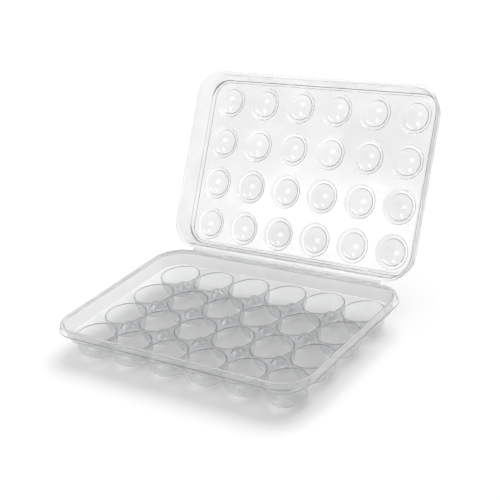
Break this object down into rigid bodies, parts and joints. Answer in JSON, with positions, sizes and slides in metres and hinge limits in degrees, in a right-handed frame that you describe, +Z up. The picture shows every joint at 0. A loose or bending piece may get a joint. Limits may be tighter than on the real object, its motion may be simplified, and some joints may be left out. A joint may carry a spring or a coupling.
{
  "type": "hinged storage container",
  "caption": "Clear hinged clamshell container: a tray of round-bottomed cups and a domed lid that stands open on a long living hinge.",
  "frame": {"origin": "on the surface the cups stand on, below the centre of the box round the open container", "axes": "+X along the hinge and the tray's long side, +Y from the tray's front edge towards the hinge and the open lid, +Z up"},
  "size_m": [0.325, 0.3386, 0.2282],
  "materials": {
    "tray_plastic": "clear moulded plastic, glossy, colourless",
    "lid_plastic": "clear moulded plastic, glossy, colourless, thinner than the tray",
    "hinge_plastic": "clear plastic thinned to a flexing web"
  },
  "bodies": {
    "tray": {"tray": "tray_plastic", "tray_hinge_leaf": "hinge_plastic"},
    "lid": {"lid": "lid_plastic", "lid_hinge_leaf": "hinge_plastic"}
  },
  "joints": [
    {"name": "lid_hinge", "type": "hinge", "parent": "tray", "child": "lid", "pos_m": [0, 0.04753, 0.04215], "axis": [1, 0, 0], "range_deg": [0, 120]}
  ]
}
